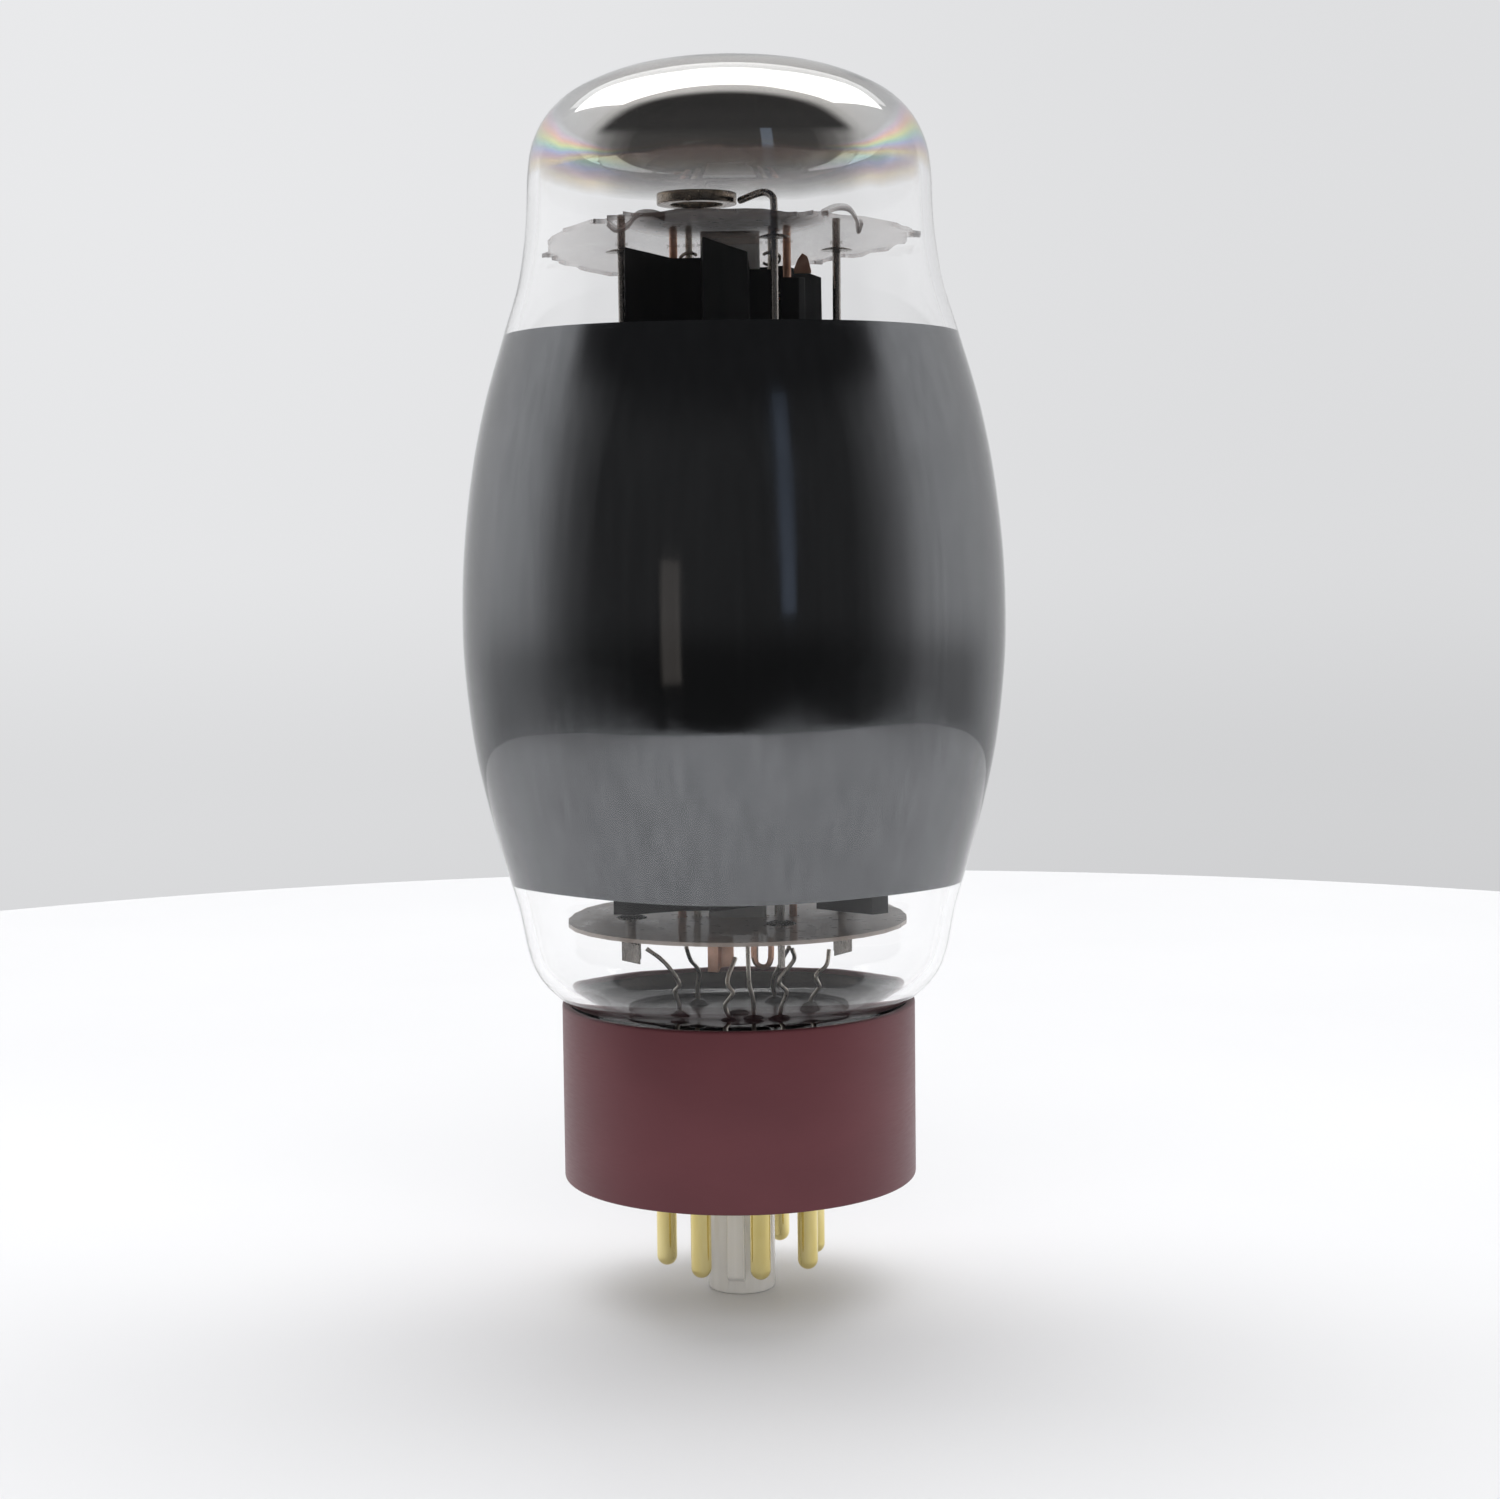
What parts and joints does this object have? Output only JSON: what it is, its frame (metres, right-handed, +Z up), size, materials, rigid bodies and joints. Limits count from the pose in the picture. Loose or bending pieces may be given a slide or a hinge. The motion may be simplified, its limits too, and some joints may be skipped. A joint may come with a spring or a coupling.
{
  "type": "vacuum tube",
  "caption": "Beam power tube: coated shouldered glass bulb with a silvered dome, dark red metal base, keyed locating spigot and contact pins.",
  "frame": {"origin": "centre of the locating spigot's lower end", "axes": "+Z up along the tube's axis, towards the top of the glass; -Y towards the front, where the locating key is"},
  "size_m": [0.0606, 0.0606, 0.1377],
  "materials": {
    "clear_glass": "clear, polished",
    "graphite": "dark grey graphite seen through glass, satin",
    "getter_mirror": "silvery mirror with a brown fringe",
    "red_anodised_aluminium": "dark red anodised, satin",
    "white_insulator": "off-white, glossy",
    "black_cement": "matt black",
    "gold_plate": "gold plated, polished",
    "mica": "translucent beige sheet, glossy",
    "carbonised_nickel": "matt black",
    "support_steel": "bright drawn wire",
    "nickel": "satin",
    "copper": "copper, satin",
    "cathode_oxide": "matt white",
    "heater_ceramic": "matt white"
  },
  "bodies": {
    "root": {"anode_front_half": "carbonised_nickel", "anode_rear_half": "carbonised_nickel", "base_cement": "black_cement", "base_sleeve": "red_anodised_aluminium", "base_wafer": "white_insulator", "bottom_mica": "mica", "cathode": "cathode_oxide", "cathode_strap": "copper", "control_grid_left_rod": "nickel", "control_grid_right_rod": "nickel", "control_grid_winding": "nickel", "exhaust_tube": "clear_glass", "front_support_rod": "support_steel", "front_support_rod_lower_collar": "nickel", "front_support_rod_upper_collar": "nickel", "getter_film": "getter_mirror", "getter_ring": "nickel", "glass_envelope": "clear_glass", "glass_stem": "clear_glass", "graphite_coating": "graphite", "heater": "heater_ceramic", "heater_loop": "copper", "lead_1": "nickel", "lead_2": "nickel", "lead_3": "nickel", "lead_4": "nickel", "lead_5": "nickel", "lead_7": "nickel", "lead_8": "nickel", "left_anode_clip": "nickel", "left_anode_rod": "support_steel", "left_anode_rod_lower_collar": "nickel", "left_anode_rod_upper_collar": "nickel", "left_beam_plate": "nickel", "left_grid_ring": "nickel", "left_lower_anode_strap": "carbonised_nickel", "left_upper_anode_strap": "carbonised_nickel", "pin_1": "gold_plate", "pin_2": "gold_plate", "pin_3": "gold_plate", "pin_4": "gold_plate", "pin_5": "gold_plate", "pin_7": "gold_plate", "pin_8": "gold_plate", "rear_support_rod": "support_steel", "rear_support_rod_lower_collar": "nickel", "rear_support_rod_upper_collar": "nickel", "right_anode_clip": "nickel", "right_anode_rod": "support_steel", "right_anode_rod_lower_collar": "nickel", "right_anode_rod_upper_collar": "nickel", "right_beam_plate": "nickel", "right_grid_ring": "nickel", "right_lower_anode_strap": "carbonised_nickel", "right_upper_anode_strap": "carbonised_nickel", "screen_grid_left_rod": "copper", "screen_grid_right_rod": "copper", "screen_grid_winding": "copper", "screen_radiator": "copper", "top_mica": "mica"}
  },
  "joints": []
}
